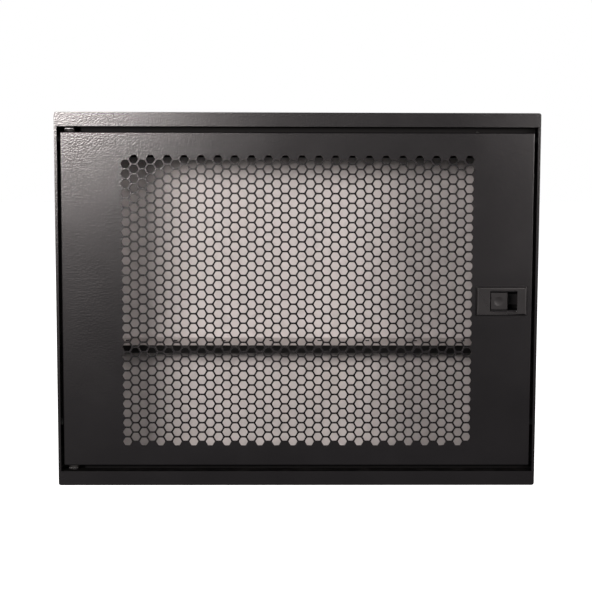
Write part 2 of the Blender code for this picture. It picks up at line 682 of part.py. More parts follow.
def hinge_bush(name, top, door):
    """Nylon bush in the door's folded edge; its collar bears on the bracket."""
    inward = -1 if top else 1
    edge = DOOR_HEAD if top else DOOR_BASE
    inner = PIN_RADIUS + GAP
    outer = inner + BUSH_WALL
    collar = min(BUSH_COLLAR, (DOOR_TOP_GAP if top else DOOR_BOTTOM_GAP) - PIN_HEAD - LEAF - 5 * GAP)
    profile = [(inner, GAP + collar), (outer + 0.0012, GAP + collar), (outer + 0.0012, GAP), (outer, GAP),
               (outer, -SHEET - 0.0040), (inner, -SHEET - 0.0040), (inner, GAP + collar)]
    bush = turned(name, profile, (AXIS_X, AXIS_Y, edge), (0, 0, -inward), NYLON)
    radius = outer + GAP
    hole = turned(name + "_hole", [(0.0, 0.004), (radius, 0.004), (radius, -0.004), (0.0, -0.004)],
                  (AXIS_X, AXIS_Y, edge), (0, 0, 1), None, CUTTERS)
    cut(door, hole)
    return bush


def door_tray():
    """Door sheet with its four folded edges."""
    bm = bmesh.new()
    bmesh.ops.create_cube(bm, size=1.0)
    low = Vector((DOOR_LEFT, FRONT, DOOR_BASE))
    high = Vector((DOOR_RIGHT, FRONT + DOOR_RETURN, DOOR_HEAD))
    for vert in bm.verts:
        vert.co = low + Vector(((high[i] - low[i]) * (vert.co[i] + 0.5) for i in range(3)))
    back = [face for face in bm.faces if face.normal.y > 0.5]
    bmesh.ops.delete(bm, geom=back, context="FACES_ONLY")
    front = [edge for edge in bm.edges if not edge.is_boundary]
    bmesh.ops.bevel(bm, geom=front, offset=DOOR_BEND, segments=2, profile=0.5, affect="EDGES")
    door = add_mesh("door_sheet", mesh_from(bm, "door_sheet"), DOOR_COAT)
    shell = door.modifiers.new("Sheet", "SOLIDIFY")
    shell.thickness = SHEET
    shell.offset = -1.0
    shell.use_even_offset = True
    return door


def hex_centres(pitch, side_margin, end_margin):
    """Centres of the staggered holes, in columns across the door; odd columns sit lower."""
    step = pitch * math.sqrt(3) / 2
    wide = DOOR_RIGHT - DOOR_LEFT - 2 * side_margin
    high = DOOR_HEAD - DOOR_BASE - 2 * end_margin
    columns = 2 * int(((wide - pitch) / step + 1) / 2)
    rows = int(high / pitch - 0.5)
    centres = []
    for column in range(columns):
        x = (column - (columns - 1) / 2) * step
        shift = 0.25 if column % 2 else -0.25
        for row in range(rows):
            centres.append((x, DOOR_MID + (row - (rows - 1) / 2 + shift) * pitch))
    return centres


def perforate(door):
    bm = bmesh.new()
    radius = HEX_PITCH * HEX_OPEN / math.sqrt(3)
    turn = Matrix.Rotation(math.pi / 2, 4, "X") @ Matrix.Rotation(math.pi / 6, 4, "Z")
    for x, z in hex_centres(HEX_PITCH, FIELD_SIDE_MARGIN, FIELD_END_MARGIN):
        place = Matrix.Translation((x, FRONT + SHEET / 2, z)) @ turn
        bmesh.ops.create_cone(bm, cap_ends=True, segments=6, radius1=radius, radius2=radius,
                              depth=SHEET * 4, matrix=place)
    bmesh.ops.recalc_face_normals(bm, faces=bm.faces)
    cut(door, add_mesh("door_perforation", mesh_from(bm, "door_perforation"), None, CUTTERS))


def latch_bezel():
    """Bevelled frame around the latch window, hollow where the finger plate slides under it."""
    x0 = BEZEL_X - BEZEL_WIDTH / 2
    x1 = BEZEL_X + BEZEL_WIDTH / 2
    z0 = DOOR_MID - BEZEL_HEIGHT / 2
    z1 = DOOR_MID + BEZEL_HEIGHT / 2
    bm = bmesh.new()
    bmesh.ops.create_cube(bm, size=1.0)
    low = Vector((x0, FRONT - BEZEL_PROUD, z0))
    high = Vector((x1, FRONT - GAP, z1))
    for vert in bm.verts:
        vert.co = low + Vector(((high[i] - low[i]) * (vert.co[i] + 0.5) for i in range(3)))
    face = next(face for face in bm.faces if face.normal.y < -0.5)
    bmesh.ops.bevel(bm, geom=list(face.edges), offset=BEZEL_CHAMFER, segments=2, profile=0.6,
                    affect="EDGES")
    bezel = add_mesh("latch_bezel", mesh_from(bm, "latch_bezel"), LATCH_PLASTIC)
    window = rounded_rectangle(WINDOW_X - WINDOW_WIDTH / 2, WINDOW_X + WINDOW_WIDTH / 2,
                               DOOR_MID - WINDOW_HEIGHT / 2, DOOR_MID + WINDOW_HEIGHT / 2, WINDOW_RADIUS)
    cut(bezel, prism("latch_window", [window], "Y", FRONT - BEZEL_PROUD - 0.002, FRONT + 0.002,
                     coll=CUTTERS))
    half = FINGER_HEIGHT / 2 + 2 * GAP
    pocket_low = (FINGER_LEFT - LATCH_TRAVEL - 2 * GAP, FINGER_FACE - GAP, DOOR_MID - half)
    pocket_high = (WINDOW_X, FRONT + 0.002, DOOR_MID + half)
    cut(bezel, box("latch_pocket", pocket_low, pocket_high, coll=CUTTERS))
    return bezel


def latch_screw(name, x, bezel, door, housing):
    """Screw from inside the door through the housing's ear into the bezel."""
    seat = FRONT + SHEET + GAP + HOUSING_WALL + GAP
    tip = FRONT - BEZEL_PROUD + 0.0016
    reach = seat - tip
    radius = EAR_SCREW_RADIUS
    profile = [(0.0, 0.0016), (EAR_SCREW_HEAD, 0.0016), (EAR_SCREW_HEAD, 0.0), (radius, 0.0),
               (radius, -reach), (0.0, -reach)]
    turned(name, profile, (x, seat, DOOR_MID), (0, 1, 0), ZINC, steps=12)
    wide = radius + GAP
    hole = turned(name + "_hole", [(0.0, 0.001), (wide, 0.001), (wide, -reach - GAP), (0.0, -reach - GAP)],
                  (x, seat, DOOR_MID), (0, 1, 0), None, CUTTERS, steps=12)
    for piece in (bezel, door, housing):
        cut(piece, hole)


def housing_height():
    return FINGER_HEIGHT + 4 * GAP + 2 * HOUSING_WALL


def latch_housing():
    """Open box behind the door sheet in which the slider runs, with a screw ear at each end."""
    half = housing_height() / 2
    front = FRONT + SHEET + GAP
    box_low = (HOUSING_LEFT, front, DOOR_MID - half)
    box_high = (HOUSING_RIGHT, HOUSING_BACK, DOOR_MID + half)
    housing = box("latch_housing", box_low, box_high, HOUSING_PLASTIC)
    ear = BEZEL_WIDTH / 2 - 0.001
    join(housing, box("latch_ears", (BEZEL_X - ear, front, DOOR_MID - EAR_HEIGHT / 2),
                      (BEZEL_X + ear, front + HOUSING_WALL, DOOR_MID + EAR_HEIGHT / 2), coll=CUTTERS))
    wall = HOUSING_WALL
    cut(housing, box("latch_cavity", (HOUSING_LEFT + wall, front - 0.002, DOOR_MID - half + wall),
                     (HOUSING_RIGHT - wall, HOUSING_BACK - wall, DOOR_MID + half - wall), coll=CUTTERS))
    run = TONGUE_HEIGHT / 2 + 2 * GAP
    cut(housing, box("latch_mouth", (HOUSING_RIGHT - 2 * wall, TONGUE_FRONT - 2 * GAP, DOOR_MID - run),
                     (HOUSING_RIGHT + 0.002, HOUSING_BACK - wall, DOOR_MID + run), coll=CUTTERS))
    return housing


def latch_opening(door):
    """Cut-out in the door sheet behind the bezel."""
    half = housing_height() / 2 - HOUSING_WALL
    cut(door, box("latch_cutout", (HOUSING_LEFT + HOUSING_WALL, FRONT - 0.002, DOOR_MID - half),
                  (HOUSING_RIGHT - HOUSING_WALL, FRONT + 0.004, DOOR_MID + half), coll=CUTTERS))


def latch_slider():
    """Finger plate, neck and wedge-nosed tongue in one moulding."""
    half = FINGER_HEIGHT / 2
    bm = bmesh.new()
    bmesh.ops.create_cube(bm, size=1.0)
    low = Vector((FINGER_LEFT, FINGER_FACE, DOOR_MID - half))
    high = Vector((FINGER_LEFT + FINGER_WIDTH, FINGER_FACE + FINGER_THICK, DOOR_MID + half))
    for vert in bm.verts:
        vert.co = low + Vector(((high[i] - low[i]) * (vert.co[i] + 0.5) for i in range(3)))
    face = next(face for face in bm.faces if face.normal.y < -0.5)
    bmesh.ops.bevel(bm, geom=list(face.edges), offset=0.0006, segments=1, affect="EDGES")
    slider = add_mesh("latch_slider", mesh_from(bm, "latch_slider"), LATCH_PLASTIC)
    join(slider, box("latch_neck", (NECK_LEFT, FINGER_FACE + FINGER_THICK / 2, DOOR_MID - NECK_HEIGHT / 2),
                     (NECK_LEFT + NECK_WIDTH, TONGUE_FRONT + TONGUE / 2, DOOR_MID + NECK_HEIGHT / 2),
                     coll=CUTTERS))
    tip = STRIKE_EDGE + TONGUE_GRIP
    rear = TONGUE_FRONT + TONGUE
    wedge = TONGUE * 0.8
    outline = [(NECK_LEFT + 0.001, TONGUE_FRONT), (tip, TONGUE_FRONT), (tip, rear - wedge),
               (tip - wedge, rear), (NECK_LEFT + 0.001, rear)]
    join(slider, prism("latch_tongue", [outline], "Z", DOOR_MID - TONGUE_HEIGHT / 2,
                       DOOR_MID + TONGUE_HEIGHT / 2, coll=CUTTERS))
    bore = turned("latch_bore", [(0.0, 0.004), (SPRING_BORE, 0.004), (SPRING_BORE, -SPRING_POCKET),
                                 (0.0, -SPRING_POCKET)],
                  (NECK_LEFT, spring_depth(), DOOR_MID), (-1, 0, 0), None, CUTTERS, steps=12)
    cut(slider, bore)
    return slider


def spring_depth():
    return (FINGER_FACE + FINGER_THICK + TONGUE_FRONT) / 2


def latch_spring():
    """Compression spring between the housing's end wall and the slider's bore."""
    start = HOUSING_LEFT + HOUSING_WALL + GAP + SPRING_WIRE
    end = NECK_LEFT + SPRING_POCKET - GAP - SPRING_WIRE
    count = SPRING_TURNS * 10 + 1
    curve = bpy.data.curves.new("latch_spring", "CURVE")
    curve.dimensions = "3D"
    curve.bevel_depth = SPRING_WIRE
    curve.bevel_resolution = 1
    curve.use_fill_caps = True
    spline = curve.splines.new("POLY")
    spline.points.add(count - 1)
    for point, share in zip(spline.points, np.linspace(0.0, 1.0, count)):
        angle = 2 * math.pi * SPRING_TURNS * share
        y = spring_depth() + SPRING_RADIUS * math.sin(angle)
        z = DOOR_MID + SPRING_RADIUS * math.cos(angle)
        point.co = (start + (end - start) * share, y, z, 1.0)
    obj = bpy.data.objects.new("latch_spring", curve)
    curve.materials.append(ZINC)
    PARTS.objects.link(obj)
    return obj


def strike_plate():
    """Angle on the side wall behind which the latch's tongue catches."""
    wall = SIDE_INNER - GAP
    path = [(STRIKE_EDGE, STRIKE_FRONT), (wall, STRIKE_FRONT), (wall, STRIKE_FRONT + STRIKE_LEG)]
    span = (DOOR_MID - STRIKE_HEIGHT / 2, DOOR_MID + STRIKE_HEIGHT / 2)
    return bent_sheet("strike_plate", path, [span, span], "Z", STRIKE_SHEET, BODY_COAT)


def door_bumper(name, top):
    """Rubber button on the stop lip that the door's folded edge closes against."""
    z = LIP_TOP + GAP + BUMPER_RADIUS if top else LIP_BOTTOM - GAP - BUMPER_RADIUS
    x = DOOR_RIGHT - BUMPER_INSET
    thick = RIM_RETURN - DOOR_RETURN - 2 * GAP
    profile = [(0.0, thick), (BUMPER_RADIUS * 0.8, thick), (BUMPER_RADIUS, thick * 0.7),
               (BUMPER_RADIUS, 0.0), (0.0, 0.0)]
    return turned(name, profile, (x, LIP_Y - GAP, z), (0, -1, 0), RUBBER, steps=12)


def set_origin(obj, point):
    """Move an object's origin without moving its surface."""
    shift = obj.matrix_world.inverted() @ Vector(point)
    obj.data.transform(Matrix.Translation(-shift))
    obj.location = Vector(point)


def build_body():
    corners = corner_rounding()
    top = end_panel("top_panel", True, corners)
    end_panel("bottom_panel", False, corners)
    sides = {-1: side_panel("side_panel_left", -1, corners), 1: side_panel("side_panel_right", 1, corners)}
    plate = back_plate()
    wall_fixings(sides, plate)
    back_screws(sides, plate)
    shelf()
    shelf_front_bar()
    rack_mounting()
    cover = cable_cover()
    cover_screws(top, cover)
    cable_trim()
    earth_point()
    strike_plate()
    door_bumper("door_bumper_top", True)
    door_bumper("door_bumper_bottom", False)
    for word, is_top in (("top", True), ("bottom", False)):
        hinge_bracket("hinge_bracket_" + word, is_top)
        hinge_pin("hinge_pin_" + word, is_top)


def build_door():
    door = door_tray()
    latch_opening(door)
    perforate(door)
    hinge_bush("hinge_bush_top", True, door)
    hinge_bush("hinge_bush_bottom", False, door)
    bezel = latch_bezel()
    housing = latch_housing()
    latch_screw("latch_screw_left", BEZEL_X - EAR_SCREW_REACH, bezel, door, housing)
    latch_screw("latch_screw_right", BEZEL_X + EAR_SCREW_REACH, bezel, door, housing)
    slider = latch_slider()
    spring = latch_spring()
    set_origin(door, (AXIS_X, AXIS_Y, DOOR_MID))
    bpy.context.view_layer.update()
    for piece in (bezel, housing, slider, spring):
        piece.parent = door
        piece.matrix_parent_inverse = door.matrix_world.inverted()


build_body()
build_door()
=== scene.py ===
"""Flat wall cabinet for 19-inch equipment: surfaces, finishes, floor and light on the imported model.

Everything is in metres. The cabinet faces -Y and +Z is up.
"""
import json
import math

import bmesh
import bpy
from mathutils import Matrix, Vector

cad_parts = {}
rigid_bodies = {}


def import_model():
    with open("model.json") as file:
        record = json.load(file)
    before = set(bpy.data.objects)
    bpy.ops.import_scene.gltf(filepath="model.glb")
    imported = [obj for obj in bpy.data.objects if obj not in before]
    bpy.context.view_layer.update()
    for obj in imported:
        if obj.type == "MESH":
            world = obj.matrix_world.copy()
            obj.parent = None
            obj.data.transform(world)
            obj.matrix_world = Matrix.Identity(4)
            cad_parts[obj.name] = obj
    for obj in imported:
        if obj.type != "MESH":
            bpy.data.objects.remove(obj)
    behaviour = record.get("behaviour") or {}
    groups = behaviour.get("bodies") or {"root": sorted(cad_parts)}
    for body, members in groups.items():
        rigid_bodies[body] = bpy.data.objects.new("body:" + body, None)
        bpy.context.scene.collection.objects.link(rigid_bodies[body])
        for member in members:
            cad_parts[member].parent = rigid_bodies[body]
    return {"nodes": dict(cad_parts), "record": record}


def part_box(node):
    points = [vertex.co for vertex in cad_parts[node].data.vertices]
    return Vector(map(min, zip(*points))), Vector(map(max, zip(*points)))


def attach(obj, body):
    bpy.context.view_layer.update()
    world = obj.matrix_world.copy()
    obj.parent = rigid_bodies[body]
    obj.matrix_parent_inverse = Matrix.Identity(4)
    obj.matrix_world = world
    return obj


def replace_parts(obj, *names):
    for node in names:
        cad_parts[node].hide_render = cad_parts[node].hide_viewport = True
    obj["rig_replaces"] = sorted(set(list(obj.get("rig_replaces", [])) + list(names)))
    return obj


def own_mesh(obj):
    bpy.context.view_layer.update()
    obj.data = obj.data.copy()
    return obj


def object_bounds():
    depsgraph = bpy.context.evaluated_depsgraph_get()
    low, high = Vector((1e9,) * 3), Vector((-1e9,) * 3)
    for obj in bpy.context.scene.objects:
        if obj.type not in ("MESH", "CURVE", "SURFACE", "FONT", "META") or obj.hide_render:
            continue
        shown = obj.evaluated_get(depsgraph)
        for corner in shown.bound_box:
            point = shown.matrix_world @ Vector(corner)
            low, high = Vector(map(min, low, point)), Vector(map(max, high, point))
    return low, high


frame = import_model()
SOLID_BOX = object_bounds()
NODES = frame["nodes"]
BODY_OF = {name: body for body, names in frame["record"]["behaviour"]["bodies"].items() for name in names}

# Cabinet
SHEET = 0.0012
GAP = 0.0003
FRONT = -0.0731             # outer face of the door
DOOR_MID = 0.2030           # height of the door's centre
DUSTY_DEPTH = 0.0030        # how far below its top the cabinet still counts as outer top face
CLEAR = 0.001               # overshoot of a cutter past the face that it opens

# Door
DOOR_BEND = 0.0015          # outer radius of the folds
SLIT_WIDTH = 0.0004         # gap between the folded edges at a corner
SLIT_START = 0.0028         # from the door's face
SLIT_REACH = 0.0030         # from the door's side
CAVITY_LEFT = 0.20035       # opening for the latch housing
CAVITY_RIGHT = 0.2415

# Perforation
COLUMNS = 42
ROWS = 30
COLUMN_PITCH = 0.0090
CELL_PITCH = COLUMN_PITCH * 2 / math.sqrt(3)
HOLE_FLATS = 0.0085
HOLE_CORNER = 0.0010        # size of the cut at each corner of a hole
HOLE_EASE = 0.00040         # paint-rounded edge of a hole
FIELD_MID = 0.2018          # height of the field's centre

# Hinge
AXIS_X = -0.2440
AXIS_Y = -0.0661
PIN_RADIUS = 0.0025
PIN_HEAD = 0.0010           # height of a pin's head
BUSH_RADIUS = 0.0044
BUSH_SEAT = 0.0040          # how far a bush goes past the fold that it sits in

# Latch
BEZEL_X = 0.2208
BEZEL_WIDTH = 0.0544
BEZEL_HEIGHT = 0.0312
BEZEL_PROUD = 0.0038
BEZEL_CORNER = 0.0009
BEZEL_SLOPE = 0.0022
WINDOW_X = 0.2227
WINDOW_WIDTH = 0.0293
WINDOW_HEIGHT = 0.0234
WINDOW_CORNER = 0.0015
FINGER_LEFT = 0.20895
FINGER_WIDTH = 0.0183
FINGER_HEIGHT = 0.0191
FINGER_FACE = -0.0751
DISH_CURVE = 0.0400         # radius of the ball that the finger plate's dish is cut with
DISH_RADIUS = 0.0066
DISH_DEPTH = 0.0003
LATCH_TRAVEL = 0.0080
HOUSING_HALF = 0.01015      # half the housing's cavity height
SPRING_WIRE = 0.00045       # radius of the wire
SPRING_TURNS = 7

# Fasteners
SCREW_RADIUS = 0.0018
LATCH_SCREW_RADIUS = 0.0011
BOLT_RADIUS = 0.0025
STUD_RADIUS = 0.0030
COVER_SCREW_HEAD = 0.0018   # heights of the heads
LATCH_SCREW_HEAD = 0.0016
BOLT_HEAD = 0.0026
THREAD_PITCH = 0.0008       # back screws, rail bolts and nuts
COVER_SCREW_PITCH = 0.0007
LATCH_SCREW_PITCH = 0.0005
STUD_PITCH = 0.0010

# Coats
COAT_DARK = (0.0040, 0.0034, 0.0041)
COAT_LIGHT = (0.0060, 0.0053, 0.0061)
WHITE = (1.0, 1.0, 1.0, 1.0)

# Studio
LAMP_WARMTH = (1.0, 0.925, 0.905)
FLOOR_GLOW = 0.96
FILL_LIGHT = 0.09           # strength of the white room around the cabinet
FLOOR_REACH = 6.0
CAMERA_PLACE = (-0.02733, -1.72209, 0.39230)
CAMERA_TURN = (83.6326, -0.1718, -0.8749)   # degrees
CAMERA_LENS = 93.48                         # millimetres on a 36 mm frame


# ---------------------------------------------------------------- finishes

class Tone:
    """One value on its way through a finish; sums on it add their Math nodes."""

    def __init__(self, finish, socket):
        self.finish = finish
        self.socket = socket

    def math(self, operation, first, second):
        return self.finish.node("ShaderNodeMath", {"operation": operation}, {0: first, 1: second})

    def __add__(self, other):
        return self.math("ADD", self, other)

    def __radd__(self, other):
        return self.math("ADD", other, self)

    def __sub__(self, other):
        return self.math("SUBTRACT", self, other)

    def __rsub__(self, other):
        return self.math("SUBTRACT", other, self)

    def __mul__(self, other):
        return self.math("MULTIPLY", self, other)

    def __rmul__(self, other):
        return self.math("MULTIPLY", other, self)


class Finish:
    """A surface finish in the making: one material and the nodes that feed its shader."""

    def __init__(self, name, **constants):
        self.material = bpy.data.materials.new(name)
        self.material.use_nodes = True
        self.tree = self.material.node_tree
        self.shader = self.tree.nodes["Principled BSDF"]
        for socket, value in constants.items():
            self.shader.inputs[socket.replace("_", " ")].default_value = value
        coordinates = self.tree.nodes.new("ShaderNodeTexCoord")
        self.place = Tone(self, coordinates.outputs["Object"])
        self.facing = Tone(self, coordinates.outputs["Normal"])

    def node(self, kind, settings, sockets, output=0):
        """Add a node: its settings first, then a value or a link for each socket."""
        made = self.tree.nodes.new(kind)
        for key, value in settings.items():
            setattr(made, key, value)
        for key, value in sockets.items():
            self.feed(made.inputs[key], value)
        return Tone(self, made.outputs[output])

    def feed(self, socket, value):
        if isinstance(value, Tone):
            self.tree.links.new(value.socket, socket)
        elif isinstance(value, tuple) and len(value) == 3 and socket.type == "RGBA":
            socket.default_value = (*value, 1.0)
        else:
            socket.default_value = value

    def noise(self, scale, detail, roughness, place=None):
        return self.node("ShaderNodeTexNoise", {}, {
            "Vector": place or self.place, "Scale": scale, "Detail": detail, "Roughness": roughness})

    def cells(self, scale, output, place, feature="F1"):
        return self.node("ShaderNodeTexVoronoi", {"feature": feature}, {
            "Vector": place, "Scale": scale}, output)

    def ramp(self, value, low, high):
        """Smooth step from 0 to 1 as a value goes between two limits."""
        return self.node("ShaderNodeMapRange", {"interpolation_type": "SMOOTHSTEP"}, {
            "Value": value, "From Min": low, "From Max": high, "To Min": 0.0, "To Max": 1.0})

    def blend(self, share, first, second):
        """Mix of two colours."""
        return self.node("ShaderNodeMix", {"data_type": "RGBA"}, {
            0: share, 6: first, 7: second}, 2)

    def stretched(self, x, y, z):
        return self.node("ShaderNodeVectorMath", {"operation": "MULTIPLY"}, {0: self.place, 1: (x, y, z)})

    def upward(self):
        """How far the surface faces up, 0 to 1."""
        parts = self.node("ShaderNodeSeparateXYZ", {}, {0: self.facing}, 2)
        return self.ramp(parts, 0.5, 0.95)

    def bump(self, height, distance, strength):
        return self.node("ShaderNodeBump", {}, {"Height": height, "Distance": distance, "Strength": strength})

    def lay(self, **sockets):
        """Feed the shader and hand over the finished material."""
        for socket, value in sockets.items():
            self.feed(self.shader.inputs[socket.replace("_", " ")], value)
        return self.material


def powder_coat(name, dark, light, relief, gloss, shine=0.75):
    """Fine textured black powder coat: pebbled skin, slight mottling, a breath of dust on ledges."""
    coat = Finish(name, Specular_IOR_Level=shine)
    pebble = coat.noise(560.0, 0.5, 0.5)
    skin = coat.noise(1500.0, 1.0, 0.5)
    height = coat.ramp(pebble, 0.30, 0.72) * 0.8 + skin * 0.2
    mottle = coat.noise(14.0, 3.0, 0.55)
    dust = coat.upward() * coat.ramp(coat.noise(60.0, 4.0, 0.6), 0.42, 0.75) * 0.05
    colour = coat.blend(mottle, dark, light)
    colour = coat.blend(dust, colour, (0.20, 0.19, 0.18))
    roughness = gloss + 0.06 * mottle + 0.05 * skin
    return coat.lay(Base_Color=colour, Roughness=roughness, Normal=coat.bump(height, 0.000045, relief))


def galvanised_sheet():
    """Hot-dip galvanised steel with soft spangle, rolling streaks and faint stains."""
    zinc = Finish("galvanised_sheet")
    wander = zinc.noise(40.0, 2.0, 0.5)
    spread = zinc.node("ShaderNodeVectorMath", {"operation": "MULTIPLY_ADD"}, {
        0: (0.01, 0.01, 0.01), 1: wander, 2: zinc.place})
    spangle = zinc.node("ShaderNodeSeparateColor", {}, {0: zinc.cells(115.0, "Color", spread)})
    border = zinc.ramp(zinc.cells(115.0, "Distance", spread, "DISTANCE_TO_EDGE"), 0.0, 0.12)
    streak = zinc.noise(1.0, 3.0, 0.6, zinc.stretched(500.0, 500.0, 12.0))
    stain = zinc.ramp(zinc.noise(7.0, 4.0, 0.6), 0.45, 0.75)
    colour = zinc.blend(0.75 * spangle + 0.25 * streak, (0.53, 0.505, 0.495), (0.62, 0.59, 0.58))
    colour = zinc.blend(stain * 0.35, colour, (0.50, 0.465, 0.43))
    roughness = 0.42 + 0.14 * spangle + 0.06 * streak
    height = border * 0.3 + streak * 0.2 + spangle * 0.5
    return zinc.lay(Base_Color=colour, Roughness=roughness, Metallic=0.35 + 0.15 * spangle,
                    Normal=zinc.bump(height, 0.00005, 0.4))


def zinc_plate():
    """Bright zinc plating, faintly iridescent, brushed by handling."""
    plate = Finish("zinc_plate", Metallic=1.0)
    tint = plate.noise(160.0, 2.0, 0.5)
    scuff = plate.noise(900.0, 3.0, 0.65)
    colour = plate.blend(plate.ramp(tint, 0.35, 0.65), (0.60, 0.60, 0.62), (0.70, 0.66, 0.56))
    return plate.lay(Base_Color=colour, Roughness=0.22 + 0.18 * scuff,
                     Normal=plate.bump(scuff, 0.00003, 0.35))


def moulded_plastic(name, dark, light, gloss, shine=0.5):
    """Black moulded plastic with spark-eroded grain."""
    plastic = Finish(name, Specular_IOR_Level=shine)
    grain = plastic.noise(2600.0, 2.0, 0.5)
    cloud = plastic.noise(45.0, 3.0, 0.5)
    dust = plastic.ramp(plastic.noise(420.0, 3.0, 0.7), 0.62, 0.80) * 0.03
    colour = plastic.blend(dust, plastic.blend(cloud, dark, light), (0.22, 0.21, 0.20))
    return plastic.lay(Base_Color=colour, Roughness=gloss + 0.08 * cloud + 0.08 * grain,
                       Normal=plastic.bump(grain, 0.00004, 0.35))


def nylon():
    """Black nylon, waxy and slightly uneven."""
    wax = Finish("nylon_bush", Specular_IOR_Level=0.25)
    cloud = wax.noise(220.0, 2.0, 0.5)
    colour = wax.blend(cloud, (0.012, 0.012, 0.012), (0.020, 0.019, 0.018))
    return wax.lay(Base_Color=colour, Roughness=0.46 + 0.12 * cloud, Normal=wax.bump(cloud, 0.00004, 0.3))


def soft_rubber():
    """Matt black rubber with a dry bloom."""
    rubber = Finish("rubber", Specular_IOR_Level=0.3)
    grain = rubber.noise(1900.0, 2.0, 0.6)
    bloom = rubber.ramp(rubber.noise(90.0, 4.0, 0.6), 0.45, 0.8)
    colour = rubber.blend(bloom, (0.012, 0.012, 0.012), (0.034, 0.032, 0.030))
    return rubber.lay(Base_Color=colour, Roughness=0.72 + 0.15 * bloom,
                      Normal=rubber.bump(grain, 0.00006, 0.5))


def floor_paint():
    """White studio floor that glows a little, so it stays even far from the lamps."""
    floor = Finish("floor_paint", Roughness=0.75, Emission_Color=WHITE, Emission_Strength=FLOOR_GLOW)
    cloud = floor.noise(2.0, 3.0, 0.5)
    return floor.lay(Base_Color=floor.blend(cloud, (0.84, 0.84, 0.84), (0.87, 0.87, 0.87)))


FINISH = {
    "body_coat": powder_coat("body_powder_coat", COAT_DARK, COAT_LIGHT, 1.0, 0.18),
    "door_coat": powder_coat("door_powder_coat", COAT_DARK, COAT_LIGHT, 1.0, 0.18),
    # painted shade: a darker coat for the faces inside the cabinet and the shelf flange behind the slots
    "painted_shade_coat": powder_coat("painted_shade_powder_coat", (0.0014, 0.0013, 0.0013), (0.0024, 0.0022, 0.0022),
                              0.8, 0.58, 0.12),
    "top_coat": powder_coat("dusty_powder_coat", (0.0060, 0.0055, 0.0055), (0.0100, 0.0094, 0.0090),
                            1.0, 0.70, 0.10),
    "black_oxide": powder_coat("black_oxide", (0.0060, 0.0056, 0.0054), (0.0120, 0.0110, 0.0100),
                               0.3, 0.55, 0.3),
    "galvanised": galvanised_sheet(),
    "zinc": zinc_plate(),
    "latch_plastic": moulded_plastic("latch_plastic", (0.0080, 0.0074, 0.0078), (0.0110, 0.0102, 0.0107),
                                     0.24),
    # darker than the latch plastic: painted shade for the recess behind the finger plate
    "housing_plastic": moulded_plastic("housing_plastic", (0.0015, 0.0015, 0.0015), (0.0028, 0.0027, 0.0026),
                                       0.62, 0.15),
    "nylon": nylon(),
    "rubber": soft_rubber(),
}


# First letters of the nodes that are made in each finish.
MADE_IN = {
    "door_coat": ("door_sheet",),
    "galvanised": ("back_plate", "shelf_plate"),
    "zinc": ("back_screw", "rail_bolt", "rail_nut", "cover_screw", "earth_", "hinge_pin", "latch_screw",
             "latch_spring"),
    "latch_plastic": ("latch_bezel", "latch_slider"),
    "housing_plastic": ("latch_housing",),
    "nylon": ("hinge_bush",),
    "rubber": ("cable_trim", "door_bumper"),
}


def slot_of(node):
    """Finish that a node is made in; whatever is not listed is body sheet."""
    return next((slot for slot, starts in MADE_IN.items() if node.startswith(starts)), "body_coat")


def dress(obj, slot):
    obj.data.materials.clear()
    obj.data.materials.append(FINISH[slot])


# ---------------------------------------------------------------- shaping

def new_piece(name, bm):
    mesh = bpy.data.meshes.new(name)
    bm.to_mesh(mesh)
    bm.free()
    obj = bpy.data.objects.new(name, mesh)
    bpy.context.scene.collection.objects.link(obj)
    return obj


def solidified(obj):
    """The object's mesh with all its modifiers applied."""
    evaluated = obj.evaluated_get(bpy.context.evaluated_depsgraph_get())
    mesh = bpy.data.meshes.new_from_object(evaluated)
    obj.modifiers.clear()
    obj.data = mesh
    return obj


def crisp(obj, angle=32.0):
    """Smooth over gentle turns, and sharp over the rest."""
    mesh = obj.data
    mesh.polygons.foreach_set("use_smooth", [True] * len(mesh.polygons))
    mesh.set_sharp_from_angle(angle=math.radians(angle))
    even = obj.modifiers.new("Even", "WEIGHTED_NORMAL")
    even.weight = 100
    even.keep_sharp = True
    return solidified(obj)


def stand_for(obj, node, finish=None):
    """Fit a finished piece in place of a node."""
    slot = slot_of(node)
    dress(obj, finish or slot)
    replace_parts(obj, node)
    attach(obj, BODY_OF[node])
    return obj


def paint_shade_inside(obj):
    """Matt coat on the faces inside the cabinet; its darker colour is painted shade."""
    obj.data.materials.append(FINISH["painted_shade_coat"])
    low, high = SOLID_BOX
    skin = 0.002
    for face in obj.data.polygons:
        x, y, z = face.center
        inside = low[0] + skin < x < high[0] - skin and low[2] + skin < z < high[2] - skin
        if inside and FRONT + 2 * skin < y < high[1] - skin:
            face.material_index = 1


def dull_top(obj):
    """Dusty, matt coat on the outer top face."""
    obj.data.materials.append(FINISH["top_coat"])
    for face in obj.data.polygons:
        if face.normal.z > 0.98 and face.center.z > SOLID_BOX[1][2] - DUSTY_DEPTH:
            face.material_index = len(obj.data.materials) - 1


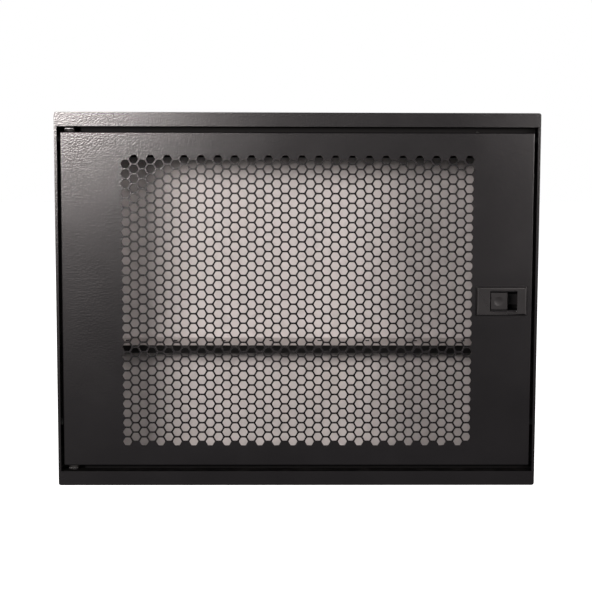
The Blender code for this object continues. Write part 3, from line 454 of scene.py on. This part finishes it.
def soften(node, fold=0.0014, inner=0.0005, rim=0.00030, thin=0.0017):
    """A node's own shape with rounded folds, and rims deburred where a face is thinner than thin."""
    bm = bmesh.new()
    bm.from_mesh(NODES[node].data)
    bmesh.ops.remove_doubles(bm, verts=bm.verts, dist=0.000005)
    bmesh.ops.dissolve_limit(bm, angle_limit=math.radians(1.0), verts=bm.verts, edges=bm.edges)
    weight = bm.edges.layers.float.new("bevel_weight_edge")
    for edge in bm.edges:
        if len(edge.link_faces) != 2:
            continue
        turn = edge.calc_face_angle_signed(0.0)
        if abs(turn) < math.radians(30):
            continue
        narrow = min(face.calc_area() / max(e.calc_length() for e in face.edges) for face in edge.link_faces)
        if narrow < thin:
            edge[weight] = rim / fold
        else:
            edge[weight] = 1.0 if turn > 0 else inner / fold
    obj = new_piece(node + "_finished", bm)
    bevel = obj.modifiers.new("Round", "BEVEL")
    bevel.limit_method = "WEIGHT"
    bevel.width = fold
    bevel.segments = 3
    bevel.use_clamp_overlap = True
    bevel.miter_outer = "MITER_SHARP"
    solidified(obj)
    crisp(obj, 40.0)
    stand_for(obj, node)
    if slot_of(node) == "body_coat":
        paint_shade_inside(obj)
    return obj


def block(bm, first, second):
    """Box between two opposite corners."""
    low = Vector(tuple(map(min, first, second)))
    high = Vector(tuple(map(max, first, second)))
    for vert in bmesh.ops.create_cube(bm, size=1.0)["verts"]:
        vert.co = low + Vector(((high[i] - low[i]) * (vert.co[i] + 0.5) for i in range(3)))


def block_piece(name, first, second):
    bm = bmesh.new()
    block(bm, first, second)
    return new_piece(name, bm)


def carve(obj, cutter, operation="DIFFERENCE"):
    """Cut a piece with another, which is used up."""
    cut = obj.modifiers.new("Cut", "BOOLEAN")
    cut.operation = operation
    cut.solver = "MANIFOLD"
    cut.object = cutter
    bpy.context.view_layer.update()
    solidified(obj)
    bpy.data.objects.remove(cutter, do_unlink=True)


def ease_edges(obj, width, segments, angle):
    bevel = obj.modifiers.new("Ease", "BEVEL")
    bevel.limit_method = "ANGLE"
    bevel.angle_limit = math.radians(angle)
    bevel.width = width
    bevel.segments = segments
    solidified(obj)


def extruded(bm, sections):
    """Closed solid through equal rings of points."""
    rings = [[bm.verts.new(point) for point in section] for section in sections]
    count = len(rings[0])
    for first, second in zip(rings, rings[1:]):
        for i in range(count):
            j = (i + 1) % count
            bm.faces.new((first[i], first[j], second[j], second[i]))
    bm.faces.new(rings[0][::-1])
    bm.faces.new(rings[-1])


def upright_to(centre, direction):
    """Placement that stands a piece made along +Z on a centre, along a direction."""
    turn = Vector((0, 0, 1)).rotation_difference(Vector(direction)).to_matrix().to_4x4()
    return Matrix.Translation(Vector(centre)) @ turn


def lathe(name, profile, centre, direction, steps):
    """Turned piece: (radius, height) points from the top's centre down the outer side."""
    bm = bmesh.new()
    place = upright_to(centre, direction)
    angles = [2 * math.pi * i / steps for i in range(steps)]
    rings = []
    for radius, height in profile:
        if radius == 0:
            rings.append([bm.verts.new(place @ Vector((0, 0, height)))])
            continue
        rings.append([bm.verts.new(place @ Vector((radius * math.cos(a), radius * math.sin(a), height)))
                      for a in angles])
    for upper, lower in zip(rings, rings[1:]):
        for i in range(steps):
            j = (i + 1) % steps
            corners = (upper[i % len(upper)], lower[i % len(lower)],
                       lower[j % len(lower)], upper[j % len(upper)])
            loop = list(dict.fromkeys(corners))
            if len(loop) > 2:
                bm.faces.new(loop)
    bmesh.ops.recalc_face_normals(bm, faces=bm.faces)
    return new_piece(name, bm)


def rounded_outline(x0, x1, z0, z1, radius):
    """Rectangle with round corners."""
    steps = 6
    points = []
    for cx, cz, start in ((x1 - radius, z1 - radius, 0), (x0 + radius, z1 - radius, 90),
                          (x0 + radius, z0 + radius, 180), (x1 - radius, z0 + radius, 270)):
        for i in range(steps + 1):
            angle = math.radians(start + 90 * i / steps)
            points.append((cx + radius * math.cos(angle), cz + radius * math.sin(angle)))
    return points


# ---------------------------------------------------------------- door

def hole_outline(flats):
    """Hexagon with a point to each side and its corners cut, around the origin."""
    reach = flats / math.sqrt(3)
    corners = [Vector((reach * math.cos(math.pi / 3 * i), reach * math.sin(math.pi / 3 * i)))
               for i in range(6)]
    points = []
    for i, corner in enumerate(corners):
        before = (corners[i - 1] - corner).normalized()
        after = (corners[(i + 1) % 6] - corner).normalized()
        points.append(corner + before * HOLE_CORNER * 0.6)
        points.append(corner + (before + after) * HOLE_CORNER * 0.22)
        points.append(corner + after * HOLE_CORNER * 0.6)
    return points


def perforation():
    """Cutter for all holes: columns that stand half a hole up and down in turn, edges eased on both faces."""
    bm = bmesh.new()
    levels = ((-2 * HOLE_EASE, 4 * HOLE_EASE), (HOLE_EASE * 0.4, HOLE_EASE * 0.7), (HOLE_EASE * 1.4, 0.0),
              (SHEET - HOLE_EASE, 0.0), (SHEET + 2 * HOLE_EASE, 4 * HOLE_EASE))
    rings = [(depth, hole_outline(HOLE_FLATS + grow)) for depth, grow in levels]
    for column in range(COLUMNS):
        x = (column - (COLUMNS - 1) / 2) * COLUMN_PITCH
        shift = 0.25 if column % 2 else -0.25
        for row in range(ROWS):
            z = FIELD_MID + (row - (ROWS - 1) / 2 + shift) * CELL_PITCH
            extruded(bm, [[(x + p.x, FRONT + depth, z + p.y) for p in ring] for depth, ring in rings])
    bmesh.ops.recalc_face_normals(bm, faces=bm.faces)
    return new_piece("perforation", bm)


def door_panel():
    """Door sheet with rolled bends, split corners and its 1,260 holes."""
    low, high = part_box("door_sheet")
    bm = bmesh.new()
    block(bm, low, high)
    back = [face for face in bm.faces if face.normal.y > 0.5]
    bmesh.ops.delete(bm, geom=back, context="FACES_ONLY")
    bends = [edge for edge in bm.edges if not edge.is_boundary]
    bmesh.ops.bevel(bm, geom=bends, offset=DOOR_BEND, segments=5, profile=0.5, affect="EDGES")
    door = new_piece("door_panel", bm)
    shell = door.modifiers.new("Sheet", "SOLIDIFY")
    shell.thickness = SHEET
    shell.offset = -1.0
    shell.use_even_offset = True
    solidified(door)
    bm = bmesh.new()
    block(bm, (CAVITY_LEFT, FRONT - 2 * CLEAR, DOOR_MID - HOUSING_HALF),
          (CAVITY_RIGHT, FRONT + 4 * CLEAR, DOOR_MID + HOUSING_HALF))
    for x, inward in ((low.x, 1), (high.x, -1)):
        for z, up in ((low.z, 1), (high.z, -1)):
            block(bm, (x - inward * CLEAR, FRONT + SLIT_START, z + up * SHEET),
                  (x + inward * SLIT_REACH, high.y + 6 * CLEAR, z + up * (SHEET + SLIT_WIDTH)))
    bmesh.ops.recalc_face_normals(bm, faces=bm.faces)
    carve(door, new_piece("cuts", bm))
    hole, deep = BUSH_RADIUS + GAP, 4 * CLEAR
    for z in (low.z, high.z):
        carve(door, lathe("bush_hole", [(0, deep), (hole, deep), (hole, -deep), (0, -deep)],
                          (AXIS_X, AXIS_Y, z), (0, 0, 1), 32))
    carve(door, perforation())
    crisp(door, 50.0)
    stand_for(door, "door_sheet")


# ---------------------------------------------------------------- latch

def bezel():
    """Bevelled frame with the finger window and a pocket for the plate to slide in."""
    x0, x1 = BEZEL_X - BEZEL_WIDTH / 2, BEZEL_X + BEZEL_WIDTH / 2
    z0, z1 = DOOR_MID - BEZEL_HEIGHT / 2, DOOR_MID + BEZEL_HEIGHT / 2
    bm = bmesh.new()
    block(bm, (x0, FRONT - BEZEL_PROUD, z0), (x1, FRONT - GAP, z1))
    corners = [edge for edge in bm.edges if abs((edge.verts[0].co - edge.verts[1].co).y) > 0.001]
    bmesh.ops.bevel(bm, geom=corners, offset=BEZEL_CORNER, segments=4, profile=0.5, affect="EDGES")
    face = min(bm.faces, key=lambda f: f.calc_center_median().y)
    bmesh.ops.bevel(bm, geom=list(face.edges), offset=BEZEL_SLOPE, segments=6, profile=0.62, affect="EDGES")
    frame_piece = new_piece("latch_frame", bm)
    window = rounded_outline(WINDOW_X - WINDOW_WIDTH / 2, WINDOW_X + WINDOW_WIDTH / 2,
                             DOOR_MID - WINDOW_HEIGHT / 2, DOOR_MID + WINDOW_HEIGHT / 2, WINDOW_CORNER)
    bm = bmesh.new()
    depths = (FRONT + 2 * CLEAR, FRONT - BEZEL_PROUD - 2 * CLEAR)
    extruded(bm, [[(x, y, z) for x, z in window] for y in depths])
    bmesh.ops.recalc_face_normals(bm, faces=bm.faces)
    carve(frame_piece, new_piece("window", bm))
    half = FINGER_HEIGHT / 2 + 2 * GAP
    left = FINGER_LEFT - LATCH_TRAVEL - 2 * GAP
    carve(frame_piece, block_piece("pocket", (left, FINGER_FACE - GAP, DOOR_MID - half),
                                   (WINDOW_X, FRONT + 2 * CLEAR, DOOR_MID + half)))
    ease_edges(frame_piece, 0.00025, 2, 40.0)
    crisp(frame_piece, 40.0)
    stand_for(frame_piece, "latch_bezel")


def slider():
    """Finger plate with a dished face and pulled-in rim, on its neck and tongue."""
    piece = soften("latch_slider", fold=0.0005, inner=0.0003, rim=0.0002, thin=0.0009)
    centre = (FINGER_LEFT + FINGER_WIDTH * 0.46, FINGER_FACE - DISH_CURVE + DISH_DEPTH, DOOR_MID)
    carve(piece, lathe("dish", ball(DISH_CURVE, 40, DISH_RADIUS), centre, (0, 1, 0), 64))
    crisp(piece, 40.0)


def housing():
    soften("latch_housing", fold=0.0006, inner=0.0003, rim=0.00025, thin=0.0009)


def spring():
    """Compression spring of round wire with its end coils closed."""
    low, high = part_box("latch_spring")
    middle = (low + high) / 2
    radius = (high.z - low.z) / 2 - SPRING_WIRE
    length = high.x - low.x - 2 * SPRING_WIRE
    closed = SPRING_WIRE * 2.02     # rise of an end coil, which all but touches the next
    ring = [2 * math.pi * k / 12 for k in range(12)]
    sections = []
    steps = SPRING_TURNS * 28
    for i in range(steps + 1):
        turn = i / steps * SPRING_TURNS
        if turn < 1:
            run = closed * turn
        elif turn > SPRING_TURNS - 1:
            run = length - closed * (SPRING_TURNS - turn)
        else:
            run = closed + (length - 2 * closed) * (turn - 1) / (SPRING_TURNS - 2)
        angle = 2 * math.pi * turn
        outward = Vector((0, math.sin(angle), math.cos(angle)))
        centre = Vector((low.x + SPRING_WIRE + run, middle.y, middle.z)) + outward * radius
        sections.append([centre + SPRING_WIRE * (outward * math.cos(a) + Vector((1, 0, 0)) * math.sin(a))
                         for a in ring])
    bm = bmesh.new()
    extruded(bm, sections)
    bmesh.ops.recalc_face_normals(bm, faces=bm.faces)
    piece = stand_for(crisp(new_piece("latch_coil", bm), 50.0), "latch_spring")
    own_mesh(piece)


def shelf():
    """Shelf plate; the front side of its rear flange takes the dark coat, painted shade for the shade seen
    through the shelf's slots.
    """
    plate = soften("shelf_plate", fold=0.0012, rim=0.00025)
    low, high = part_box("shelf_plate")
    # painted shade: the flange's front faces take the dark coat
    plate.data.materials.append(FINISH["painted_shade_coat"])
    flange_y = high.y - 4 * CLEAR
    for face in plate.data.polygons:
        if face.normal.y < -0.5 and face.center.y > flange_y and face.center.z < high.z - SHEET:
            face.material_index = 1


# ---------------------------------------------------------------- fasteners and turned pieces

def ball(radius, steps, wide):
    """Cap of a sphere, as a lathe profile closed behind."""
    reach = math.asin(wide / radius)
    angles = [reach * i / steps for i in range(steps + 1)]
    return [(radius * math.sin(a), radius * math.cos(a)) for a in angles] + [(wide, 0.0), (0.0, 0.0)]


def thread(radius, top, bottom, pitch, depth):
    """Ridges of a screw thread from top to bottom."""
    points = []
    height = top
    while height - pitch > bottom:
        points += [(radius - depth, height), (radius, height - pitch * 0.40),
                   (radius, height - pitch * 0.55), (radius - depth, height - pitch * 0.95)]
        height -= pitch
    return points


def plus_recess(centre, direction, span, width, depth):
    """Cutter for a cross recess that narrows as it goes in."""
    place = upright_to(centre, direction)
    a, w = span / 2, width / 2
    outline = [(a, -w), (a, w), (w, w), (w, a), (-w, a), (-w, w),
               (-a, w), (-a, -w), (-w, -w), (-w, -a), (w, -a), (w, -w)]
    bm = bmesh.new()
    extruded(bm, [[place @ Vector((x * grow, y * grow, z)) for x, y in outline]
                  for grow, z in ((0.55, -depth), (1.0, 0.0), (1.0, CLEAR))])
    bmesh.ops.recalc_face_normals(bm, faces=bm.faces)
    return new_piece("recess", bm)


def seat_centre(node, direction, seat):
    """Point on a node's own axis, at the seat's place along the direction."""
    low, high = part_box(node)
    middle = (low + high) / 2
    return Vector(tuple(seat if direction[i] else middle[i] for i in range(3)))


def screw(node, direction, profile, seat, span, recess=0.0011):
    """Screw with a cross recess in its head, turned about its node's own axis."""
    centre = seat_centre(node, direction, seat)
    piece = lathe(node + "_turned", profile, centre, direction, 36)
    carve(piece, plus_recess(centre, direction, span, span * 0.26, recess))
    stand_for(crisp(piece, 34.0), node)


def back_screw(node):
    low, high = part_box(node)
    length = high.y - low.y
    head = (high.z - low.z) / 2
    shank = SCREW_RADIUS
    profile = [(0, 0), (head - 0.0003, 0), (head, -0.00012), (head, -0.00030), (shank, -0.0014)]
    profile += thread(shank, -0.0017, -length + 0.0008, THREAD_PITCH, 0.00025)
    profile += [(shank * 0.8, -length + 0.0007), (shank * 0.4, -length), (0, -length)]
    screw(node, (0, 1, 0), profile, high.y, 2 * shank)


def cover_screw(node):
    low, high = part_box(node)
    length = high.z - low.z
    head = (high.x - low.x) / 2
    shank, thick = SCREW_RADIUS, COVER_SCREW_HEAD
    profile = [(0, 0), (head * 0.45, -0.00008), (head * 0.80, -0.0004), (head * 0.96, -0.0009),
               (head, -0.0013), (head, -thick), (shank, -thick)]
    profile += thread(shank, -thick - 0.0001, -length + 0.0002, COVER_SCREW_PITCH, 0.00022)
    profile += [(shank * 0.8, -length), (0, -length)]
    screw(node, (0, 0, -1), profile, low.z, 2 * shank)


def latch_screw(node):
    low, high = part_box(node)
    length = high.y - low.y
    head = (high.z - low.z) / 2
    shank, thick = LATCH_SCREW_RADIUS, LATCH_SCREW_HEAD
    profile = [(0, 0), (head * 0.45, -0.00006), (head * 0.80, -0.00035), (head * 0.97, -0.0008),
               (head, -0.0011), (head, -thick), (shank, -thick)]
    profile += thread(shank, -thick - 0.0002, -length + 0.0005, LATCH_SCREW_PITCH, 0.00016)
    profile += [(shank * 0.7, -length + 0.0004), (shank * 0.3, -length), (0, -length)]
    screw(node, (0, 1, 0), profile, high.y, 0.0024, 0.0008)


def rail_bolt(node):
    low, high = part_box(node)
    side = -1 if low.x < 0 else 1
    length = high.x - low.x
    head = (high.z - low.z) / 2
    shank, thick = BOLT_RADIUS, BOLT_HEAD
    profile = [(0, 0), (head * 0.5, -0.0001), (head * 0.82, -0.0006), (head * 0.97, -0.0013),
               (head, -0.0018), (head, -thick), (shank, -thick)]
    profile += thread(shank, -thick - 0.0002, -length + 0.0006, THREAD_PITCH, 0.00028)
    profile += [(shank * 0.82, -length), (0, -length)]
    screw(node, (-side, 0, 0), profile, low.x if side > 0 else high.x, 0.0046, 0.0014)


def nut(node, axis, bore):
    """Hexagon nut, its corners chamfered on both faces, with a threaded bore."""
    low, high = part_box(node)
    centre = (low + high) / 2
    half = (high[axis] - low[axis]) / 2
    others = [i for i in range(3) if i != axis]
    flats = min(high[i] - low[i] for i in others)
    first = max(others, key=lambda i: high[i] - low[i])
    second = min(others, key=lambda i: high[i] - low[i])
    corner = flats / math.sqrt(3)
    bm = bmesh.new()
    rings = []
    for end in (-half, half):
        ring = []
        for i in range(6):
            point = Vector(centre)
            point[first] += corner * math.cos(math.pi / 3 * i)
            point[second] += corner * math.sin(math.pi / 3 * i)
            point[axis] += end
            ring.append(point)
        rings.append(ring)
    extruded(bm, rings)
    bmesh.ops.recalc_face_normals(bm, faces=bm.faces)
    piece = new_piece(node + "_turned", bm)
    line = Vector(tuple(1.0 if i == axis else 0.0 for i in range(3)))
    face = flats * 0.475
    cone = half - (corner - face) * 0.55
    wide = corner + 0.0001
    barrel = [(0, half), (face, half), (wide, cone), (wide, -cone), (face, -half), (0, -half)]
    carve(piece, lathe("chamfer", barrel, centre, line, 48), operation="INTERSECT")
    deep = bore + 0.0001
    lead = 0.0006
    past = half + CLEAR
    profile = [(0, past), (deep + lead, past), (deep + lead, half), (deep, half - lead)]
    profile += thread(deep + 0.0002, half - 0.0007, -half + 0.0007, THREAD_PITCH, 0.0002)
    profile += [(deep, -half + lead), (deep + lead, -half), (deep + lead, -past), (0, -past)]
    carve(piece, lathe("bore", profile, centre, line, 32))
    stand_for(crisp(piece, 30.0), node)


def turned_for(node, profile, direction, seat, finish=None):
    """Turned piece on a node's own axis; heights run along the direction from the seat."""
    piece = lathe(node + "_turned", profile, seat_centre(node, direction, seat), direction, 40)
    stand_for(crisp(piece, 34.0), node, finish)


def earth_stud():
    low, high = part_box("earth_stud")
    length = high.z - low.z
    radius = STUD_RADIUS
    root = radius - 0.0003
    weld = radius * 1.5
    profile = [(0, length), (radius * 0.62, length), (radius * 0.8, length - 0.0003), (root, length - 0.0011)]
    profile += thread(radius, length - 0.0012, 0.0018, STUD_PITCH, 0.0003)
    profile += [(root, 0.0016), (radius, 0.0012), (radius * 1.3, 0.0011), (weld, 0.0008), (weld, 0), (0, 0)]
    turned_for("earth_stud", profile, (0, 0, 1), low.z)


def hinge_pin(node, up):
    low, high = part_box(node)
    length = high.z - low.z
    head = (high.x - low.x) / 2
    shank, neck = PIN_RADIUS, 0.0002
    profile = [(0, 0), (head * 0.7, -0.00005), (head * 0.93, -0.0002), (head, -0.0005), (head, -PIN_HEAD),
               (shank + neck, -PIN_HEAD), (shank, -PIN_HEAD - neck), (shank, -length + 0.0008),
               (shank * 0.85, -length + 0.0002), (shank * 0.65, -length), (0, -length)]
    turned_for(node, profile, (0, 0, up), high.z if up > 0 else low.z, "black_oxide")


def hinge_bush(node, up):
    low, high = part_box(node)
    length = high.z - low.z
    collar = (high.x - low.x) / 2
    inner = PIN_RADIUS + GAP
    outer = collar - 0.0012
    flange = length - SHEET - BUSH_SEAT - GAP
    ease = 0.0002
    profile = [(inner + ease, 0), (collar - ease, 0), (collar, -ease), (collar, -flange + ease),
               (collar - ease, -flange), (outer, -flange), (outer, -length + 0.0005),
               (outer - 0.0004, -length), (inner + ease, -length), (inner, -length + ease),
               (inner, -ease), (inner + ease, 0)]
    turned_for(node, profile, (0, 0, up), high.z if up > 0 else low.z)


def bumper(node):
    """Domed rubber button."""
    low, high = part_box(node)
    thick = high.y - low.y
    radius = (high.x - low.x) / 2
    angles = [math.radians(a) for a in range(10, 91, 10)]
    dome = [(0, thick)] + [(radius * math.sin(a), thick * (0.45 + 0.55 * math.cos(a))) for a in angles]
    turned_for(node, dome + [(radius, 0.0003), (radius - 0.0002, 0), (0, 0)], (0, -1, 0), high.y)


def fasteners():
    for word in ("left", "right"):
        for level in ("lower", "middle", "upper"):
            back_screw("back_screw_%s_%s" % (level, word))
        cover_screw("cover_screw_" + word)
        latch_screw("latch_screw_" + word)
        for level in ("lower", "upper"):
            rail_bolt("rail_bolt_%s_%s" % (level, word))
            nut("rail_nut_%s_%s" % (level, word), 0, BOLT_RADIUS)
    earth_stud()
    nut("earth_nut", 2, STUD_RADIUS)
    for word, up in (("top", 1), ("bottom", -1)):
        hinge_pin("hinge_pin_" + word, up)
        hinge_bush("hinge_bush_" + word, up)
        bumper("door_bumper_" + word)


# ---------------------------------------------------------------- assembly

SHEETS = ("top_panel", "bottom_panel", "side_panel_left", "side_panel_right", "shelf_front_bar",
          "rack_rail_left", "rack_rail_right", "rail_bracket_lower_left", "rail_bracket_lower_right",
          "rail_bracket_upper_left", "rail_bracket_upper_right", "hinge_bracket_top",
          "hinge_bracket_bottom", "strike_plate")


def assemble():
    for node in SHEETS:
        piece = soften(node)
        if node == "top_panel":
            dull_top(piece)
    shelf()
    soften("back_plate", fold=0.0005, rim=0.00025)
    dull_top(soften("cable_cover_top", fold=0.0005, rim=0.00025))
    soften("cable_trim_bottom", fold=0.0006, inner=0.0004, rim=0.0004, thin=0.0009)
    door_panel()
    bezel()
    slider()
    housing()
    spring()
    fasteners()
    replaced = {n for obj in bpy.data.objects for n in obj.get("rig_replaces", [])}
    for name, node in NODES.items():
        if name not in replaced:
            dress(node, slot_of(name))


# ---------------------------------------------------------------- studio

def softbox(name, place, target, width, height, power, colour=WHITE[:3]):
    lamp = bpy.data.lights.new(name, "AREA")
    lamp.shape = "RECTANGLE"
    lamp.size = width
    lamp.size_y = height
    lamp.energy = power
    lamp.color = colour
    obj = bpy.data.objects.new(name, lamp)
    bpy.context.scene.collection.objects.link(obj)
    obj.location = place
    obj.rotation_euler = (Vector(target) - Vector(place)).to_track_quat("-Z", "Y").to_euler()


def backdrop(tree, strength):
    """White surroundings of one strength."""
    room = tree.nodes.new("ShaderNodeBackground")
    room.inputs["Color"].default_value = WHITE
    room.inputs["Strength"].default_value = strength
    return room.outputs[0]


def studio():
    """Floor, four lamps, and a room that is white to the eye but gives only a little light."""
    bm = bmesh.new()
    bmesh.ops.create_grid(bm, x_segments=8, y_segments=8, size=FLOOR_REACH)
    floor = new_piece("floor", bm)
    floor.location.z = SOLID_BOX[0][2] - 0.0002
    floor.data.materials.append(floor_paint())
    floor.visible_glossy = False
    floor.visible_diffuse = False
    softbox("left_softbox", (-0.76, -2.00, 0.64), (-0.10, 0.0, 0.25), 0.72, 0.34, 39.0, LAMP_WARMTH)
    softbox("right_softbox", (1.36, -2.00, 0.75), (0.10, 0.0, 0.25), 0.86, 0.65, 42.0, LAMP_WARMTH)
    for side in (-1, 1):
        softbox("rear_softbox", (side * 1.8, 1.4, 1.3), (0.0, 0.0, 0.2), 2.0, 2.0, 22.0)
    world = bpy.data.worlds.new("studio")
    bpy.context.scene.world = world
    world.use_nodes = True
    tree = world.node_tree
    tree.nodes.clear()
    path = tree.nodes.new("ShaderNodeLightPath")
    mix = tree.nodes.new("ShaderNodeMixShader")
    out = tree.nodes.new("ShaderNodeOutputWorld")
    tree.links.new(path.outputs["Is Camera Ray"], mix.inputs[0])
    tree.links.new(backdrop(tree, FILL_LIGHT), mix.inputs[1])
    tree.links.new(backdrop(tree, 1.0), mix.inputs[2])
    tree.links.new(mix.outputs[0], out.inputs[0])
    bpy.context.scene.view_settings.view_transform = "Standard"


def camera():
    data = bpy.data.cameras.new("camera")
    data.sensor_width = 36.0
    data.lens = CAMERA_LENS
    data.clip_start = 0.05
    obj = bpy.data.objects.new("camera", data)
    bpy.context.scene.collection.objects.link(obj)
    obj.location = CAMERA_PLACE
    obj.rotation_euler = tuple(math.radians(a) for a in CAMERA_TURN)
    bpy.context.scene.camera = obj


assemble()
studio()
camera()
